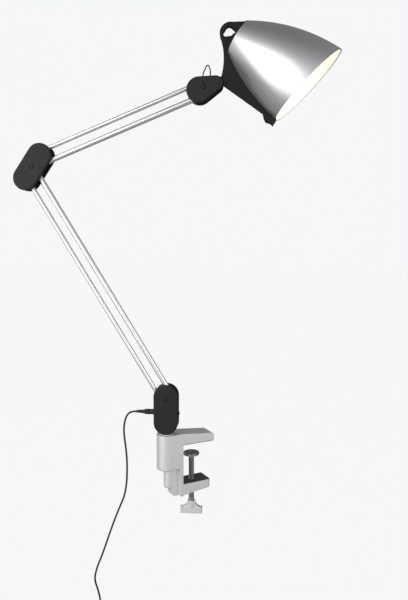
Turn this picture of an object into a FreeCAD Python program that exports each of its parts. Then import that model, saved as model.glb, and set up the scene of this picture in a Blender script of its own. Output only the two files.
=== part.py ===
import FreeCAD, Part
import math
import os

# Clamp-on architect desk lamp. Millimetres, +Z up.
# The origin is where the upper jaw rests on the table top, above the clamp screw.
# +X is the side the head reaches to, and the arms move in a plane of constant Y.

V = FreeCAD.Vector
X, Y, Z = V(1, 0, 0), V(0, 1, 0), V(0, 0, 1)

# ---- driving dimensions: clamp ----
CLAMP_YAW = 33.0          # jaw direction, degrees from +X
SCREW_REACH = 47.0        # swivel axis to clamp screw axis
JAW_WIDTH = 34.0          # the socket boss is as wide, with a half-round front
SPINE_NEAR, SPINE_THICK = 17.3, 6.4
SOCKET_TOP, SOCKET_BOTTOM = 20.0, -41.0
STUB_R, STUB_BOTTOM = 9.0, -74.0
WEB_NEAR, WEB_HALF = 6.0, 9.0            # web between the stub and the spine, down to the spine's foot
UPPER_REACH, UPPER_ROOT_TOP, UPPER_TIP_TOP = 83.0, 20.0, 13.5
LOWER_REACH, LOWER_TOP, LOWER_ROOT, LOWER_TIP = 76.0, -68.0, 19.0, 13.6
PAD_THICK = 1.2
SCREW_R, SCREW_FIT = 4.8, 0.06
PLATE_TOP, PLATE_R, PLATE_THICK = -19.5, 14.0, 4.0
STEM_BOTTOM, HANDLE_WIDE, HANDLE_TALL, HANDLE_DEEP = -118.5, 38.0, 10.0, 11.0
# ---- driving dimensions: swivel and housings ----
POST_R, BUSH_WALL, SWIVEL_FIT = 6.3, 1.5, 0.05
HOUSE_R, HOUSE_SPAN = 20.4, 44.0
GAP = 6.2                 # half of the clear space between a housing's cheeks
CHEEK = 1.6
COVER_DEPTH = 6.0         # covers reach from GAP to GAP + COVER_DEPTH
COVER_WALL, COVER_FACE, COVER_ROUND = 2.0, 2.0, 2.4
SEAT_GAP = 0.8            # the base housing stands this far clear of the clamp
BASE_LOW_Z = SOCKET_TOP + SEAT_GAP + HOUSE_R      # centre of the base housing's lower round end
BASE_SCREW = (0.0, 81.7)
# ---- driving dimensions: arms ----
LOWER_LEN, LOWER_LEAN = 436.0, 31.1      # lean is degrees left of vertical
UPPER_LEN, UPPER_RISE = 290.0, 21.4
BASE_PIVOT = (4.6, 95.4)
LOWER_LINK = (12.4, 18.4)                # link pivot to main pivot
UPPER_LINK = (9.5, 25.4)                 # main pivot to link pivot
ELBOW_TILT = 34.5
LOWER_MAIN_R, UPPER_MAIN_R, LINK_R, TUBE_WALL = 4.3, 4.5, 3.6, 0.9
EYE_R, LINK_EYE_R = 5.2, 4.4
PIN_R, LINK_PIN_R, ELBOW_PIN_R = 2.5, 2.0, 2.8
PIN_FIT, OPEN_FIT = 0.05, 0.30
WASHER = 0.45
TONGUE = 2.1              # half thickness of the tongue at the elbow
ELBOW_SHANK = 12.5        # from the elbow pivot to where both tubes' shanks begin, so that they fold freely
# ---- driving dimensions: neck and head ----
NECK_BIG = (7.3, 11.9)                   # upper main pivot to the neck's large end
NECK_SPAN, NECK_RISE, NECK_SMALL_R = 28.2, 19.5, 11.8
NECK_SCREW = (8.3, 4.0)
HEAD_TILT = 35.5
BACK_ALONG, BACK_UP = -12.2, 79.2        # tilt pivot to the centre of the shade's back
SHADE_BACK_R, SHADE_ARC_R, SHADE_MOUTH_R = 29.3, 300.0, 72.0
SHADE_LEN, MOUTH_SKEW, SHADE_WALL = 134.3, 9.6, 1.1
BRACKET_HALF = 5.6
# ---- cord ----
CORD_R = 1.6
PLUG_R, PLUG_LEN, RELIEF_LEN, PLUG_Z = 4.7, 17.0, 14.2, 57.6
ROUTE = [(-91.0, -25.6, 57.6), (-99.0, -25.8, 57.3), (-106.5, -26.2, 52.5), (-111.5, -27.0, 40.0),
         (-113.0, -28.0, 22.0), (-110.0, -28.6, 0.0), (-107.8, -28.2, -24.0), (-107.9, -27.4, -48.0),
         (-109.2, -27.0, -70.0), (-113.0, -27.6, -92.0), (-121.8, -29.6, -112.0), (-132.0, -31.0, -138.0),
         (-142.6, -31.6, -168.0), (-153.0, -31.0, -198.0), (-164.6, -29.6, -226.0), (-168.2, -28.2, -246.0),
         (-162.6, -27.0, -264.0), (-156.4, -26.2, -284.0), (-155.2, -25.8, -304.0)]
COIL_R, COIL_BUNDLE = 18.5, 5.6
TOTAL_CORD = 1500.0
TAIL_LEN = 34.0
ADAPTER = (44.0, 30.0, 58.0)

YAW = math.radians(CLAMP_YAW)
SWIVEL = V(-SCREW_REACH * math.cos(YAW), -SCREW_REACH * math.sin(YAW), 0)


# ---- shape helpers ----
def pt(x, z, y=0.0):
    """Point of the arm plane, measured from the swivel axis."""
    return V(x, y, z)


def rod(start, end, radius, inner=0.0):
    axis = end - start
    body = Part.makeCylinder(radius, axis.Length, start, axis)
    if inner:
        body = body.cut(Part.makeCylinder(inner, axis.Length + 2, start - axis / axis.Length, axis))
    return body


def disc(centre, radius, y0, y1):
    return Part.makeCylinder(radius, y1 - y0, V(centre.x, y0, centre.z), Y)


def block(x0, x1, y0, y1, z0, z1):
    return Part.makeBox(x1 - x0, y1 - y0, z1 - z0, V(x0, y0, z0))


def hull(c1, r1, c2, r2, y0, y1):
    """Prism along Y whose outline wraps two circles."""
    along = (c2 - c1).normalize()
    side = along.cross(Y)
    lean = math.acos((r1 - r2) / (c2 - c1).Length)
    edges, ends = [], []
    for centre, radius, way in ((c1, r1, -1), (c2, r2, 1)):
        up = centre + (along * math.cos(lean) + side * math.sin(lean)) * radius
        down = centre + (along * math.cos(lean) - side * math.sin(lean)) * radius
        edges.append(Part.Arc(up, centre + along * radius * way, down).toShape())
        ends.append((up, down))
    edges.insert(1, Part.LineSegment(ends[0][1], ends[1][1]).toShape())
    edges.append(Part.LineSegment(ends[1][0], ends[0][0]).toShape())
    face = Part.Face(Part.Wire(Part.__sortEdges__(edges)))
    face.translate(V(0, y0, 0))
    return face.extrude(V(0, y1 - y0, 0))


def prism(points, y0, y1):
    face = Part.Face(Part.makePolygon(points + [points[0]]))
    face.translate(V(0, y0, 0))
    return face.extrude(V(0, y1 - y0, 0))


def fuse(first, *others):
    return first.fuse(list(others)).removeSplitter()


def mirror_y(shape):
    return shape.mirror(V(0, 0, 0), Y)


def turned(shape, degrees, centre=V(0, 0, 0), axis=Z):
    copy = shape.copy()
    copy.rotate(centre, axis, degrees)
    return copy


def round_rim(shape, y, radius):
    """Fillet the outer outline of the face that lies at this Y."""
    faces = [f for f in shape.Faces if abs(f.BoundBox.YMin - y) < 1e-6 and abs(f.BoundBox.YMax - y) < 1e-6]
    return shape.makeFillet(radius, max(faces, key=lambda f: f.OuterWire.BoundBox.DiagonalLength).OuterWire.Edges)


def save(name, *solids):
    """Write one node, moved from the swivel axis to the origin."""
    shape = solids[0] if len(solids) == 1 else Part.makeCompound(list(solids))
    shape = shape.copy()
    shape.translate(SWIVEL)
    if not shape.isValid() or shape.Volume <= 0:
        raise ValueError(name + " is not a valid solid")
    shape.exportStep("parts/" + name + ".step")
    print("%-22s %2d solids %10.1f mm3" % (name, len(shape.Solids), shape.Volume))


# ---- clamp, drawn with its jaws along +X, then turned ----
def clamp_parts():
    half = JAW_WIDTH / 2
    spine_far = SPINE_NEAR + SPINE_THICK
    lower_bottom = LOWER_TOP - LOWER_ROOT
    socket = fuse(Part.makeCylinder(half, SOCKET_TOP - SOCKET_BOTTOM, V(0, 0, SOCKET_BOTTOM)),
                  block(0, SPINE_NEAR, -half, half, SOCKET_BOTTOM, SOCKET_TOP))
    socket = socket.makeFillet(2.5, [e for e in socket.Edges if e.BoundBox.ZMax < SOCKET_BOTTOM + 0.1
                                     and e.BoundBox.XMax < SPINE_NEAR - 0.1])
    stub = Part.makeCylinder(STUB_R, SOCKET_BOTTOM - STUB_BOTTOM, V(4, 0, STUB_BOTTOM))
    stub = stub.makeFillet(2.5, [e for e in stub.Edges if e.BoundBox.ZMax < STUB_BOTTOM + 0.1])
    web = block(WEB_NEAR, SPINE_NEAR, -WEB_HALF, WEB_HALF, lower_bottom - 1.5, SOCKET_BOTTOM)
    web = web.makeFillet(5.0, [e for e in web.Edges if e.BoundBox.ZMax < lower_bottom
                               and e.BoundBox.XMax < WEB_NEAR + 0.1])
    spine = block(SPINE_NEAR, spine_far, -half, half, lower_bottom - 1.5, SOCKET_TOP)
    spine = spine.makeFillet(2.0, [e for e in spine.Edges if e.BoundBox.ZMax < lower_bottom
                                   and e.BoundBox.XMax < SPINE_NEAR + 0.1])
    upper = prism([V(spine_far, 0, PAD_THICK), V(UPPER_REACH, 0, PAD_THICK), V(UPPER_REACH, 0, UPPER_TIP_TOP),
                   V(spine_far, 0, UPPER_ROOT_TOP)], -half, half)
    upper = upper.makeFillet(3.0, [e for e in upper.Edges if e.BoundBox.XMin > UPPER_REACH - 0.1
                                   and e.BoundBox.ZMin > PAD_THICK + 0.1])
    lower = prism([V(spine_far, 0, LOWER_TOP), V(LOWER_REACH, 0, LOWER_TOP),
                   V(LOWER_REACH, 0, LOWER_TOP - LOWER_TIP), V(spine_far, 0, lower_bottom)], -half, half)
    lower = lower.makeFillet(5.0, [e for e in lower.Edges if e.BoundBox.XMin > LOWER_REACH - 0.1
                                   and e.BoundBox.ZMin < LOWER_TOP - 0.1])
    body = fuse(socket, stub, web, spine, upper, lower)
    bore = POST_R + SWIVEL_FIT + BUSH_WALL
    body = body.cut(Part.makeCylinder(bore, 58, V(0, 0, SOCKET_TOP - 57)))
    body = body.cut(Part.makeCylinder(SCREW_R + SCREW_FIT, 40, V(SCREW_REACH, 0, LOWER_TOP - 30)))
    pad = block(spine_far + 0.3, UPPER_REACH - 1.5, -half + 1, half - 1, 0, PAD_THICK)
    liner = block(spine_far, LOWER_REACH - 1.2, -half + 0.8, half - 0.8, LOWER_TOP, LOWER_TOP + 0.8)
    liner = liner.cut(Part.makeCylinder(SCREW_R + 1.2, 4, V(SCREW_REACH, 0, LOWER_TOP - 1)))
    bush = rod(V(0, 0, SOCKET_TOP - 52), V(0, 0, SOCKET_TOP), bore, POST_R + SWIVEL_FIT)
    bush = fuse(bush, rod(V(0, 0, SOCKET_TOP), V(0, 0, SOCKET_TOP + WASHER), 11.0, POST_R + SWIVEL_FIT))
    for name, shape in (("clamp_body", body), ("jaw_pad", pad), ("lower_jaw_liner", liner),
                        ("socket_bush", bush)):
        save(name, turned(shape, CLAMP_YAW))


def clamp_screw_parts():
    at = V(SCREW_REACH, 0, 0)
    plate_low = PLATE_TOP - PLATE_THICK
    neck_r, ball_r, cap = 2.6, 3.8, 3.4
    screw = fuse(rod(at + V(0, 0, STEM_BOTTOM), at + V(0, 0, plate_low - cap - 1), SCREW_R),
                 rod(at + V(0, 0, plate_low - cap - 1), at + V(0, 0, plate_low - 0.7), neck_r),
                 rod(at + V(0, 0, plate_low - 2.2), at + V(0, 0, plate_low - 0.7), ball_r))
    plate = fuse(rod(at + V(0, 0, plate_low), at + V(0, 0, PLATE_TOP), PLATE_R),
                 rod(at + V(0, 0, plate_low - cap), at + V(0, 0, plate_low), 7.0, ball_r + 0.3))
    plate = plate.makeChamfer(0.8, [e for e in plate.Edges if e.BoundBox.ZMin > PLATE_TOP - 0.1])
    bottom = STEM_BOTTOM - HANDLE_TALL
    rise, thin, wide = 12.0, 6.2, HANDLE_WIDE / 2 - 0.8
    right = [V(thin + (wide - thin) * (1 - math.cos(t)), 0, STEM_BOTTOM + 0.6 + (rise - 0.6) * (1 - math.sin(t)))
             for t in [math.pi / 16 * i for i in range(9)]]
    left = [V(-p.x, 0, p.z) for p in reversed(right)]
    flare = prism(right + [V(wide, 0, STEM_BOTTOM - 1), V(-wide, 0, STEM_BOTTOM - 1)] + left, -3.6, 3.6)
    bar = block(-HANDLE_WIDE / 2, HANDLE_WIDE / 2, -HANDLE_DEEP / 2, HANDLE_DEEP / 2, bottom, STEM_BOTTOM)
    bar = bar.makeFillet(1.8, [e for e in bar.Edges if e.BoundBox.ZLength > HANDLE_TALL - 1])
    hub = Part.makeCylinder(6.4, rise + 0.5, V(0, 0, STEM_BOTTOM))
    handle = fuse(bar, flare, hub)
    handle = handle.cut(Part.makeCylinder(SCREW_R, 14, V(0, 0, STEM_BOTTOM)))
    handle.rotate(V(0, 0, 0), Z, -CLAMP_YAW)
    handle.translate(at)
    for name, shape in (("clamp_screw", screw), ("thumb_handle", handle), ("pressure_plate", plate)):
        save(name, turned(shape, CLAMP_YAW))


# ---- housings: two covers, two steel cheeks and their fasteners ----
def cover(c1, r1, c2, r2, screw_at):
    """Rear cover; the front one is its mirror image."""
    top = GAP + COVER_DEPTH
    shell = round_rim(hull(c1, r1, c2, r2, GAP, top), top, COVER_ROUND)
    shell = shell.cut(hull(c1, r1 - COVER_WALL, c2, r2 - COVER_WALL, GAP - 1, top - COVER_FACE))
    boss_top = top - COVER_FACE
    shell = fuse(shell, disc(screw_at, 4.2, GAP + CHEEK, boss_top + 0.5))
    shell = shell.cut(disc(screw_at, 4.5, top - 1.0, top + 1))
    return shell.cut(disc(screw_at, 1.6, GAP, top))


def cheek(c1, r1, c2, r2, holes):
    inset = COVER_WALL + 0.3
    plate = hull(c1, r1 - inset, c2, r2 - inset, GAP, GAP + CHEEK)
    for at, radius in holes:
        plate = plate.cut(disc(at, radius, GAP - 1, GAP + CHEEK + 1))
    return plate


def screw(at, tip):
    """Domed cover screw with a cross recess; tip is how near to the middle its thread reaches."""
    seat = GAP + COVER_DEPTH - 1.0
    head = disc(at, 3.3, seat, seat + 1.9)
    head = head.makeFillet(1.4, [e for e in head.Edges if e.BoundBox.YMin > seat + 1.8])
    slot = block(at.x - 1.9, at.x + 1.9, seat + 0.9, seat + 3, at.z - 0.45, at.z + 0.45)
    head = head.cut(slot).cut(turned(slot, 90, at, Y))
    return fuse(head, disc(at, 1.5, tip, seat))


def pin(at, radius):
    reach = GAP + CHEEK
    return fuse(disc(at, radius, -reach, reach), disc(at, radius + 1.1, reach, reach + 0.8),
                disc(at, radius + 1.1, -reach - 0.8, -reach))


def washers(places):
    outer = GAP - 0.05
    rings = []
    for at, radius, hole in places:
        ring = disc(at, radius, outer - WASHER, outer).cut(disc(at, hole, 0, outer + 1))
        rings += [ring, mirror_y(ring)]
    return rings


def housing(name, c1, r1, c2, r2, screw_at, pins, screw_tip):
    rear = cover(c1, r1, c2, r2, screw_at)
    holes = [(at, radius) for at, radius in pins]
    if screw_tip > GAP:
        raise ValueError("a cover screw must reach its cheek")
    if all((at - screw_at).Length > 0.1 for at, _ in pins):
        holes.append((screw_at, 1.5))
    plate = cheek(c1, r1, c2, r2, holes)
    fastener = screw(screw_at, screw_tip)
    save(name + "_rear_cover", rear)
    save(name + "_front_cover", mirror_y(rear))
    save(name + "_cheeks", plate, mirror_y(plate))
    save(name + "_screws", fastener, turned(fastener, 180, screw_at))


def band(c1, r1, c2, r2):
    """Closed strip that fills a housing's edge between its covers."""
    wall = COVER_WALL
    return hull(c1, r1, c2, r2, -GAP, GAP).cut(hull(c1, r1 - wall, c2, r2 - wall, -GAP - 1, GAP + 1))


def base_parts():
    low = pt(0, BASE_LOW_Z)
    high = pt(0, BASE_LOW_Z + HOUSE_SPAN)
    main = pt(*BASE_PIVOT)
    link = main - pt(*LOWER_LINK)
    stem_r, floor = 4.6, BASE_LOW_Z - HOUSE_R
    foot_low, foot_top = floor + COVER_WALL, 36.0
    housing("base", low, HOUSE_R, high, HOUSE_R, pt(*BASE_SCREW), [(main, PIN_R), (link, LINK_PIN_R)], GAP)
    save("base_pins", pin(main, PIN_R), pin(link, LINK_PIN_R))
    save("base_washers", *washers([(main, EYE_R, PIN_R), (link, LINK_EYE_R, LINK_PIN_R)]))

    jack_at, switch_z = PLUG_Z, 60.5
    frame = band(low, HOUSE_R, high, HOUSE_R).cut(block(-30, 30, -20, 20, high.z - 10, 150))
    frame = frame.cut(rod(pt(-30, jack_at), pt(0, jack_at), 5.2))
    frame = frame.cut(block(0, 30, -4.6, 4.6, switch_z - 9.2, switch_z + 9.2))
    frame = frame.cut(Part.makeCylinder(stem_r, foot_low - 12, V(0, 0, 15)))
    save("base_frame", frame)
    foot = block(-12, 12, -GAP, GAP, foot_low, foot_top)
    foot = foot.common(hull(low, HOUSE_R - COVER_WALL, high, HOUSE_R - COVER_WALL, -GAP, GAP))
    save("base_foot", foot.cut(Part.makeCylinder(stem_r, 40, V(0, 0, 10))))
    post_low = SOCKET_TOP - 50
    post = fuse(Part.makeCylinder(POST_R, floor - post_low, V(0, 0, post_low)),
                Part.makeCylinder(stem_r, foot_top - floor, V(0, 0, floor)))
    save("swivel_post", post.cut(Part.makeCylinder(2.6, 100, V(0, 0, post_low - 1))))

    wall = -HOUSE_R
    jack = fuse(rod(pt(wall, jack_at), pt(wall + 3, jack_at), 5.2),
                block(wall + 3, wall + 13, -5.4, 5.4, jack_at - 5.4, jack_at + 5.4))
    save("dc_jack", jack.cut(rod(pt(wall - 1, jack_at), pt(wall + 9, jack_at), 2.8)))
    side = HOUSE_R
    bezel = block(side - 13, side + 0.6, -4.6, 4.6, switch_z - 9.2, switch_z + 9.2)
    bezel = bezel.cut(block(side - 9, side + 2, -3.6, 3.6, switch_z - 8.2, switch_z + 8.2))
    save("switch_bezel", bezel)
    axis = pt(side - 3.0, switch_z)
    rocker = prism([V(axis.x - 2, 0, switch_z - 5), V(axis.x - 2, 0, switch_z + 5), V(side - 0.6, 0, switch_z + 7.2),
                    V(side + 0.9, 0, switch_z), V(side + 2.4, 0, switch_z - 7.2)], -3.3, 3.3)
    rocker = rocker.makeFillet(0.5, [e for e in rocker.Edges if e.BoundBox.XMin > side - 1])
    save("switch_rocker", fuse(rocker, disc(axis, 0.8, -3.55, 3.55)))
    save("driver_board", block(-1.0, 0.6, -5.2, 5.2, 44.0, 66.0), block(0.6, 5.0, -3.0, 3.0, 48.0, 54.0))
    return main, link


def elbow_parts(elbow):
    lean = math.radians(ELBOW_TILT)
    half = pt(math.sin(lean), math.cos(lean)) * (HOUSE_SPAN / 2)
    low, high = elbow - half, elbow + half
    lower_link = elbow - pt(*LOWER_LINK)
    upper_link = elbow + pt(*UPPER_LINK)
    pins = [(elbow, ELBOW_PIN_R), (lower_link, LINK_PIN_R), (upper_link, LINK_PIN_R)]
    housing("elbow", low, HOUSE_R, high, HOUSE_R, elbow, pins, 3.0)
    centre = pin(elbow, ELBOW_PIN_R)
    centre = centre.cut(disc(elbow, 1.5, 3.0, 12)).cut(disc(elbow, 1.5, -12, -3.0))
    centre = centre.common(disc(elbow, 9, -GAP - CHEEK, GAP + CHEEK))
    save("elbow_pins", centre, pin(lower_link, LINK_PIN_R), pin(upper_link, LINK_PIN_R))
    save("elbow_washers", *washers([(elbow, EYE_R, ELBOW_PIN_R), (lower_link, LINK_EYE_R, LINK_PIN_R),
                                    (upper_link, LINK_EYE_R, LINK_PIN_R)]))
    keep = block(-200, -10.5, -20, 20, -200, 200)
    keep.rotate(V(0, 0, 0), Y, ELBOW_TILT)
    keep.translate(elbow)
    save("elbow_frame", band(low, HOUSE_R, high, HOUSE_R).common(keep))
    return lower_link, upper_link


def neck_parts(main):
    rise = math.radians(NECK_RISE)
    big = main + pt(*NECK_BIG)
    small = big + pt(math.cos(rise), math.sin(rise)) * NECK_SPAN
    link = main + pt(*UPPER_LINK)
    pins = [(main, PIN_R), (link, LINK_PIN_R), (small, PIN_R)]
    housing("neck", big, HOUSE_R, small, NECK_SMALL_R, big + pt(*NECK_SCREW), pins, GAP)
    save("neck_pins", *[pin(at, radius) for at, radius in pins])
    save("neck_washers", *washers([(main, EYE_R, PIN_R), (link, LINK_EYE_R, LINK_PIN_R), (small, 6.5, PIN_R)]))
    lead_r = 1.0
    # a cross bar at each foot holds the lead between the covers' edges
    feet = (big + pt(5.0, 19.5), big + pt(16.6, 19.9))
    path = [feet[0], big + pt(5.8, 27.0), big + pt(13.6, 44.0), big + pt(18.2, 30.0), feet[1]]
    bars = [rod(foot - Y * GAP, foot + Y * GAP, 1.1) for foot in feet]
    save("head_lead", fuse(bent_tube(path, lead_r, 0.4)[0], *bars))
    return small, link


# ---- tubes and their end fittings ----
def eye_end(pivot, way, radius, tube_r, bore, y0, y1, start=0.0):
    """Pierced eye whose shank runs into the tube; way points along the tube and start is where the shank begins."""
    start = start or radius + 1.8
    insert = start + 15.0
    shank = rod(pivot + way * start, pivot + way * (start + 2.2), tube_r)
    plug = rod(pivot + way * (start + 1), pivot + way * (start + insert), tube_r - TUBE_WALL)
    across = way.cross(Y) * (tube_r - 0.8)
    web = prism([pivot + across, pivot - across, pivot - across + way * (start + 0.5),
                 pivot + across + way * (start + 0.5)], max(y0, -tube_r), min(y1, tube_r))
    solid = fuse(disc(pivot, radius, y0, y1), web, shank, plug)
    return solid.cut(disc(pivot, bore, y0 - 1, y1 + 1)), start + 2.2


def fork_end(pivot, way, radius, tube_r, bore, start):
    """Two ears that straddle the tongue of the other tube."""
    inner, outer = TONGUE + 0.3, GAP - WASHER - 0.1
    insert = start + 15.0
    across = way.cross(Y) * (radius - 0.6)
    solid = fuse(rod(pivot + way * start, pivot + way * (start + 3.2), tube_r),
                 rod(pivot + way * (start + 1), pivot + way * (start + insert), tube_r - TUBE_WALL))
    for y0, y1 in ((inner, outer), (-outer, -inner)):
        web = prism([pivot + across, pivot - across, pivot - across + way * (start + 1.2),
                     pivot + across + way * (start + 1.2)], y0, y1)
        solid = fuse(solid, disc(pivot, radius, y0, y1), web)
    return solid.cut(disc(pivot, bore, -outer - 1, outer + 1)), start + 3.2


def arm_member(name, start, end, tube_r, start_end, end_end, wire=False):
    """One tube with a fitting at each end; each fitting is (maker, arguments)."""
    way = (end - start).normalize()
    first, first_at = start_end[0](start, way, *start_end[1])
    last, last_at = end_end[0](end, way * -1, *end_end[1])
    if wire:
        channel = rod(start + way * 9, end - way * 9, 1.7)
        first, last = first.cut(channel), last.cut(channel)
        save(name + "_wire", rod(start + way * 12, end - way * 12, 1.5))
    save(name + "_ends", first, last)
    save(name + "_tube", rod(start + way * first_at, end - way * last_at, tube_r, tube_r - TUBE_WALL))


def bent_tube(points, radius, share):
    """Round tube through straight runs joined by tangent arcs, with its arc radii and path length."""
    edges, radii, at = [], [], points[0]
    for before, corner, after in zip(points, points[1:], points[2:]):
        d1, d2 = (corner - before).normalize(), (after - corner).normalize()
        half = d1.getAngle(d2) / 2
        cut = share * min((corner - before).Length, (after - corner).Length)
        radii.append(cut / math.tan(half))
        a, b = corner - d1 * cut, corner + d2 * cut
        middle = corner + (d2 - d1).normalize() * (radii[-1] / math.cos(half) - radii[-1])
        edges += [Part.LineSegment(at, a).toShape(), Part.Arc(a, middle, b).toShape()]
        at = b
    edges.append(Part.LineSegment(at, points[-1]).toShape())
    path = Part.Wire(edges)
    ring = Part.Wire(Part.makeCircle(radius, points[0], points[1] - points[0]))
    return path.makePipeShell([ring], True, False), radii, path.Length


def arm_parts(base_main, base_link, elbow, neck):
    full = GAP - WASHER - 0.1
    lower_link_top = elbow - pt(*LOWER_LINK)
    link_eye = (LINK_EYE_R, LINK_R, LINK_PIN_R + PIN_FIT, -full, full)
    open_eye = (LINK_EYE_R, LINK_R, LINK_PIN_R + OPEN_FIT, -full, full)
    arm_member("lower_main", base_main, elbow, LOWER_MAIN_R,
               (eye_end, (EYE_R, LOWER_MAIN_R, PIN_R + PIN_FIT, -full, full)),
               (eye_end, (EYE_R, LOWER_MAIN_R, ELBOW_PIN_R + PIN_FIT, -TONGUE, TONGUE, ELBOW_SHANK)), True)
    arm_member("lower_link", base_link, lower_link_top, LINK_R, (eye_end, link_eye), (eye_end, open_eye))
    arm_member("upper_main", elbow, neck, UPPER_MAIN_R,
               (fork_end, (EYE_R, UPPER_MAIN_R, ELBOW_PIN_R + PIN_FIT, ELBOW_SHANK)),
               (eye_end, (EYE_R, UPPER_MAIN_R, PIN_R + PIN_FIT, -full, full)), True)
    offset = pt(*UPPER_LINK)
    arm_member("upper_link", elbow + offset, neck + offset, LINK_R, (eye_end, link_eye), (eye_end, open_eye))


# ---- head, drawn with the shade's axis along +X from the centre of its back ----
def shade_radius(along):
    """Outer radius of the bell: one long arc that ends parallel to the axis."""
    reach = math.sqrt(SHADE_ARC_R ** 2 - (SHADE_ARC_R - SHADE_MOUTH_R + SHADE_BACK_R) ** 2)
    return SHADE_MOUTH_R - SHADE_ARC_R + math.sqrt(SHADE_ARC_R ** 2 - (reach - min(along, reach)) ** 2)


def bell(inset, start, end):
    """Solid of revolution that follows the shade's outside, inset from it."""
    middle = (start + end) / 2
    a, b, c = [V(s, 0, shade_radius(s) - inset) for s in (start, middle, end)]
    edges = [Part.Arc(a, b, c).toShape(), Part.LineSegment(c, V(end, 0, 0)).toShape(),
             Part.LineSegment(V(end, 0, 0), V(start, 0, 0)).toShape(),
             Part.LineSegment(V(start, 0, 0), a).toShape()]
    return Part.Face(Part.Wire(edges)).revolve(V(0, 0, 0), X, 360)


def mouth_cutter(setback):
    """Everything beyond the skewed mouth, less a setback."""
    size = 400
    cutter = block(0, size, -size / 2, size / 2, -size / 2, size / 2)
    cutter.rotate(V(0, 0, 0), Y, MOUTH_SKEW)
    cutter.translate(V(SHADE_LEN - setback, 0, 0))
    return cutter


def bracket_shape(tongue_r, pin_hole):
    """Flat spine: finger loop, back plate, tongue at the tilt pivot, and fin under the shade."""
    pivot = V(-BACK_ALONG, 0, -BACK_UP)
    top = V(0, 0, SHADE_BACK_R - 0.8)
    loop_a, loop_b, loop_c = V(-21.0, 0, 13.4), V(-31.4, 0, -2.0), V(-25.0, 0, -15.5)
    neck_end = pivot + V(0.5, 0, 14.8)
    tongue_left, tongue_low, tongue_right = (pivot + V(-tongue_r, 0, 0), pivot + V(0, 0, -tongue_r),
                                             pivot + V(tongue_r, 0, 0))
    rim = V(SHADE_LEN - 12.0, 0, -shade_radius(SHADE_LEN) - 0.2)
    fin = [pivot + V(10.5, 0, 5.8), rim + V(-22.0, 0, -2.2), rim + V(-14.5, 0, -8.6), rim + V(-3.6, 0, -8.6),
           rim + V(-0.6, 0, -8.0), rim + V(2.9, 0, -9.4), rim + V(2.6, 0, -0.6), rim + V(0.6, 0, 4.6), V(60, 0, 0),
           V(0, 0, 0)]
    edges = [Part.LineSegment(top, loop_a).toShape(), Part.Arc(loop_a, loop_b, loop_c).toShape(),
             Part.Arc(loop_c, V(-8.6, 0, -29.8), neck_end).toShape(),
             Part.LineSegment(neck_end, tongue_left).toShape(),
             Part.Arc(tongue_left, tongue_low, tongue_right).toShape()]
    corners = [tongue_right] + fin + [top]
    edges += [Part.LineSegment(a, b).toShape() for a, b in zip(corners, corners[1:])]
    face = Part.Face(Part.Wire(edges))
    face.translate(V(0, -BRACKET_HALF, 0))
    plate = face.extrude(V(0, 2 * BRACKET_HALF, 0))
    round_a, round_b, round_c = V(-19.6, 0, 0.9), V(-19.4, 0, -6.4), V(-10.2, 0, 3.0)
    half = BRACKET_HALF + 1
    plate = plate.cut(hull(round_b, 5.2, round_a, 5.4, -half, half))
    plate = plate.cut(hull(round_a, 5.4, round_c, 2.4, -half, half))
    plate = plate.cut(hull(round_b, 5.2, round_c, 2.4, -half, half))
    plate = plate.cut(disc(V(-17.0, 0, -1.6), 7.2, -half, half))
    plate = plate.cut(bell(-0.1, -0.05, SHADE_LEN + 22).cut(mouth_cutter(-0.1)))
    plate = plate.cut(disc(pivot, pin_hole, -half, half))
    return plate, rim


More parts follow.
